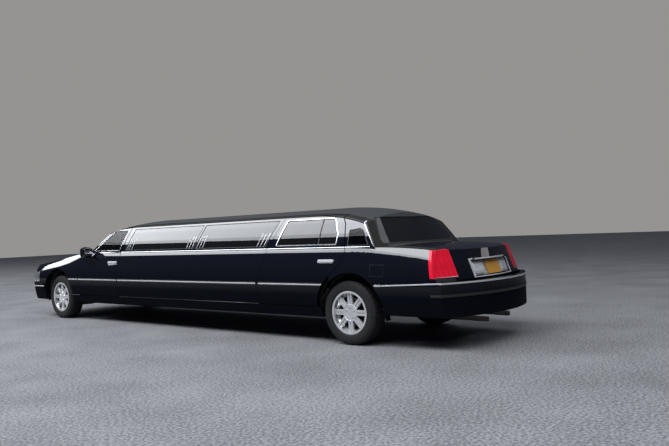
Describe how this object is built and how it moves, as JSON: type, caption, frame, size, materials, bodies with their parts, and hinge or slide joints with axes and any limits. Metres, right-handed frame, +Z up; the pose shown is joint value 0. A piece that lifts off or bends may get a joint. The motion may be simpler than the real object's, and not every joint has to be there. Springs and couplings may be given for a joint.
{
  "type": "stretch limousine",
  "caption": "Long black saloon car with a stretched closed middle, dark glass, silver wheels, swinging doors, lifting hood and boot lid, and steered front wheels.",
  "frame": {"origin": "on the ground under the middle of the car's overall length and width", "axes": "+Z up, nose towards -Y, +X to the car's left side"},
  "size_m": [2.21, 8.52, 1.5176],
  "materials": {
    "paint_black": "deep gloss black paint",
    "frame_black": "dull black chassis paint",
    "liner": "dull black moulding",
    "engine_metal": "dull cast metal",
    "raw_steel": "heat-dulled steel",
    "screen_glass": "lightly tinted glass",
    "tinted_glass": "dark tinted glass",
    "bright_trim": "bright plated trim",
    "lamp_clear": "clear lamp lens",
    "lamp_red": "clear red lens",
    "cabin_plastic": "grained dark plastic",
    "cabin_leather": "dark leather",
    "cabin_wood": "dark varnished wood",
    "wheel_silver": "bright silver wheel",
    "tyre": "black rubber"
  },
  "bodies": {
    "body": {"chassis_frame": "frame_black", "floor_pan": "frame_black", "wheel_tubs": "liner", "engine_block": "engine_metal", "drive_shaft": "raw_steel", "exhaust": "raw_steel", "fuel_tank": "liner", "rear_axle": "engine_metal", "front_suspension": "frame_black", "fender_left": "paint_black", "fender_right": "paint_black", "cowl": "paint_black", "roof": "paint_black", "side_panel_left": "paint_black", "side_panel_right": "paint_black", "quarter_left": "paint_black", "quarter_right": "paint_black", "windshield": "screen_glass", "rear_window": "tinted_glass", "side_glass_left": "tinted_glass", "side_glass_right": "tinted_glass", "grille": "bright_trim", "headlamps": "lamp_clear", "tail_lamps": "lamp_red", "front_bumper": "paint_black", "rear_bumper": "paint_black", "dashboard": "cabin_plastic", "steering_wheel": "cabin_leather", "front_seats": "cabin_leather", "rear_seat": "cabin_leather", "side_bench": "cabin_leather", "bar_cabinet": "cabin_wood", "partition": "cabin_plastic", "parcel_shelf": "cabin_plastic"},
    "door_front_left": {"door_front_left": "paint_black", "door_glass_front_left": "tinted_glass", "mirror_left": "paint_black"},
    "door_rear_left": {"door_rear_left": "paint_black", "door_glass_rear_left": "tinted_glass"},
    "door_front_right": {"door_front_right": "paint_black", "door_glass_front_right": "tinted_glass", "mirror_right": "paint_black"},
    "door_rear_right": {"door_rear_right": "paint_black", "door_glass_rear_right": "tinted_glass"},
    "hood": {"hood": "paint_black"},
    "boot_lid": {"boot_lid": "paint_black"},
    "knuckle_left": {"knuckle_left": "engine_metal"},
    "knuckle_right": {"knuckle_right": "engine_metal"},
    "wheel_front_left": {"rim_front_left": "wheel_silver", "tyre_front_left": "tyre"},
    "wheel_front_right": {"rim_front_right": "wheel_silver", "tyre_front_right": "tyre"},
    "wheel_rear_left": {"rim_rear_left": "wheel_silver", "tyre_rear_left": "tyre"},
    "wheel_rear_right": {"rim_rear_right": "wheel_silver", "tyre_rear_right": "tyre"}
  },
  "joints": [
    {"name": "door_front_left_swing", "type": "hinge", "parent": "body", "child": "door_front_left", "pos_m": [0.9935, -2.56, 0.6], "axis": [0, 0, -1], "range_deg": [0, 65]},
    {"name": "door_rear_left_swing", "type": "hinge", "parent": "body", "child": "door_rear_left", "pos_m": [0.9935, 1.457, 0.6], "axis": [0, 0, -1], "range_deg": [0, 65]},
    {"name": "door_front_right_swing", "type": "hinge", "parent": "body", "child": "door_front_right", "pos_m": [-0.9935, -2.56, 0.6], "axis": [0, 0, 1], "range_deg": [0, 65]},
    {"name": "door_rear_right_swing", "type": "hinge", "parent": "body", "child": "door_rear_right", "pos_m": [-0.9935, 1.457, 0.6], "axis": [0, 0, 1], "range_deg": [0, 65]},
    {"name": "hood_lift", "type": "hinge", "parent": "body", "child": "hood", "pos_m": [0, -2.6, 1.066], "axis": [-1, 0, 0], "range_deg": [0, 50]},
    {"name": "boot_lid_lift", "type": "hinge", "parent": "body", "child": "boot_lid", "pos_m": [0, 3.288, 1.075], "axis": [1, 0, 0], "range_deg": [0, 75]},
    {"name": "steer_left", "type": "hinge", "parent": "body", "child": "knuckle_left", "pos_m": [0.735, -3.23, 0.351], "axis": [0, 0, 1], "range_deg": [-32, 32]},
    {"name": "steer_right", "type": "hinge", "parent": "body", "child": "knuckle_right", "pos_m": [-0.735, -3.23, 0.351], "axis": [0, 0, 1], "range_deg": [-32, 32]},
    {"name": "wheel_front_left_spin", "type": "hinge", "parent": "knuckle_left", "child": "wheel_front_left", "pos_m": [0.805, -3.23, 0.351], "axis": [1, 0, 0], "continuous": true},
    {"name": "wheel_front_right_spin", "type": "hinge", "parent": "knuckle_right", "child": "wheel_front_right", "pos_m": [-0.805, -3.23, 0.351], "axis": [1, 0, 0], "continuous": true},
    {"name": "wheel_rear_left_spin", "type": "hinge", "parent": "body", "child": "wheel_rear_left", "pos_m": [0.833, 2.81, 0.351], "axis": [1, 0, 0], "continuous": true},
    {"name": "wheel_rear_right_spin", "type": "hinge", "parent": "body", "child": "wheel_rear_right", "pos_m": [-0.833, 2.81, 0.351], "axis": [1, 0, 0], "continuous": true}
  ],
  "couplings": [
    {"joint": "steer_right", "follows": "steer_left", "ratio": 1}
  ]
}
